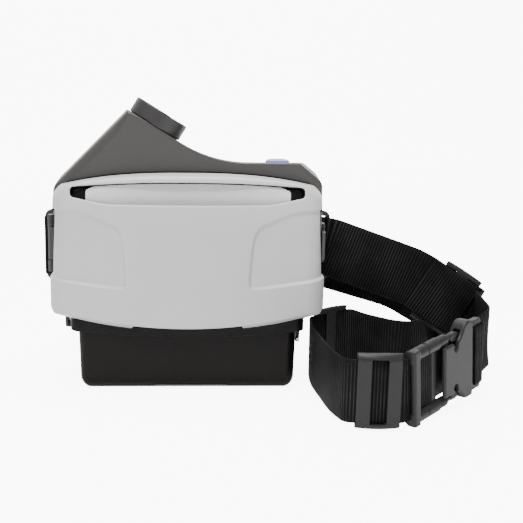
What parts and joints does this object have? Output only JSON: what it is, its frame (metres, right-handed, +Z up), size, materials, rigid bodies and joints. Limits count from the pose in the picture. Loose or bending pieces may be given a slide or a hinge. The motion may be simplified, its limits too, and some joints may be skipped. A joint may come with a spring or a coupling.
{
  "type": "powered air respirator",
  "caption": "Belt-worn blower unit with a swing-open filter cover, tilted air outlet, drop-down battery, and a waist belt with sliders and a side-release buckle.",
  "frame": {"origin": "middle of the battery's flat underside, on the supporting plane", "axes": "+Z up, the filter cover faces -Y, +X to the right seen from the front, where the belt loop lies"},
  "size_m": [0.3685, 0.1982, 0.232],
  "materials": {
    "cover": "light grey moulded plastic, smooth semi-gloss",
    "housing": "dark grey moulded plastic, fine texture",
    "collar": "very dark grey moulded plastic",
    "battery": "black moulded plastic, satin",
    "webbing": "black woven polyester webbing with cross ribs",
    "buckle": "dark grey acetal, satin",
    "filter": "white non-woven filter material",
    "button": "lavender blue rubber",
    "rubber": "black rubber",
    "steel": "bright steel",
    "copper": "copper and brass alloy",
    "board": "green circuit board",
    "cell": "blue shrink-wrapped cell",
    "label": "plain blank grey label",
    "lens": "smoked light pipe"
  },
  "bodies": {
    "unit": {"front_housing": "housing", "rear_housing": "housing", "outlet_collar": "collar", "volute_scroll": "collar", "volute_lid": "collar", "inlet_gasket": "rubber", "motor_can": "steel", "motor_bearing_front": "steel", "motor_bearing_rear": "steel", "motor_stator": "copper", "button_switch": "rubber", "switch_board": "board", "status_lens": "lens", "control_board": "board", "alarm_buzzer": "rubber", "contact_block": "rubber", "cover_hinge_pin": "steel", "cover_latch_pin": "steel", "belt_backplate": "collar", "strap_left": "webbing", "strap_right": "webbing", "buckle_male": "buckle", "housing_screw_1": "steel", "housing_screw_2": "steel", "housing_screw_3": "steel", "housing_screw_4": "steel"},
    "cover": {"filter_cover": "cover", "filter_frame": "rubber", "filter_media": "filter", "prefilter_pad": "filter", "filter_seal": "rubber"},
    "cover_lever": {"cover_latch": "housing"},
    "button": {"power_button": "button"},
    "fan": {"impeller": "cover", "motor_shaft": "steel", "motor_rotor": "rubber"},
    "battery": {"battery_tub": "battery", "battery_lid": "battery", "battery_latch_pin": "steel", "battery_contacts": "copper", "battery_board": "board", "battery_label": "label", "battery_cell_1": "cell", "battery_cell_2": "cell", "battery_cell_3": "cell", "battery_cell_4": "cell", "battery_cell_5": "cell", "battery_cell_6": "cell", "battery_cell_7": "cell", "battery_cell_8": "cell"},
    "battery_lever": {"battery_latch": "buckle"},
    "front_slider": {"slider_front": "buckle"},
    "left_slider": {"slider_left": "buckle"},
    "rear_slider": {"slider_rear": "buckle"},
    "prong_low": {"buckle_prong_lower": "buckle"},
    "prong_high": {"buckle_prong_upper": "buckle"},
    "female_buckle": {"buckle_female": "buckle", "strap_right_end": "webbing"}
  },
  "joints": [
    {"name": "filter_cover_swing", "type": "hinge", "parent": "unit", "child": "cover", "pos_m": [-0.1092, -0.012, 0.117], "axis": [0, 0, -1], "range_deg": [0, 80]},
    {"name": "cover_latch_press", "type": "hinge", "parent": "unit", "child": "cover_lever", "pos_m": [0.1086, -0.0036, 0.117], "axis": [0, 0, 1], "range_deg": [0, 9]},
    {"name": "power_button_press", "type": "slide", "parent": "unit", "child": "button", "axis": [0, 0, -1], "range_m": [0, 0.0012]},
    {"name": "impeller_spin", "type": "hinge", "parent": "unit", "child": "fan", "pos_m": [-0.0444, 0.01, 0.1249], "axis": [0, -1, 0], "continuous": true},
    {"name": "battery_swing", "type": "hinge", "parent": "unit", "child": "battery", "pos_m": [-0.094, 0, 0.051], "axis": [0, 1, 0], "range_deg": [0, 35]},
    {"name": "battery_latch_press", "type": "hinge", "parent": "battery", "child": "battery_lever", "pos_m": [0.0899, 0, 0.037], "axis": [0, -1, 0], "range_deg": [0, 8]},
    {"name": "front_slider_slide", "type": "slide", "parent": "unit", "child": "front_slider", "axis": [1, 0, 0], "range_m": [-0.004, 0.003]},
    {"name": "left_slider_slide", "type": "slide", "parent": "unit", "child": "left_slider", "axis": [-0.7984, -0.6021, 0], "range_m": [-0.003, 0.003]},
    {"name": "rear_slider_slide", "type": "slide", "parent": "unit", "child": "rear_slider", "axis": [0.8324, -0.1908, -0.5203], "range_m": [-0.004, 0.002]},
    {"name": "prong_squeeze", "type": "hinge", "parent": "unit", "child": "prong_low", "pos_m": [0.19181, -0.09022, 0.00834], "axis": [0.7325, -0.6807, 0], "range_deg": [0, 6]},
    {"name": "prong_upper_squeeze", "type": "hinge", "parent": "unit", "child": "prong_high", "pos_m": [0.18885, -0.09342, 0.05815], "axis": [0.7325, -0.6807, 0], "range_deg": [-6, 0]},
    {"name": "buckle_release", "type": "slide", "parent": "unit", "child": "female_buckle", "axis": [0.6781, 0.7298, 0.0872], "range_m": [0, 0.028]}
  ],
  "couplings": [
    {"joint": "prong_upper_squeeze", "follows": "prong_squeeze", "ratio": -1}
  ]
}
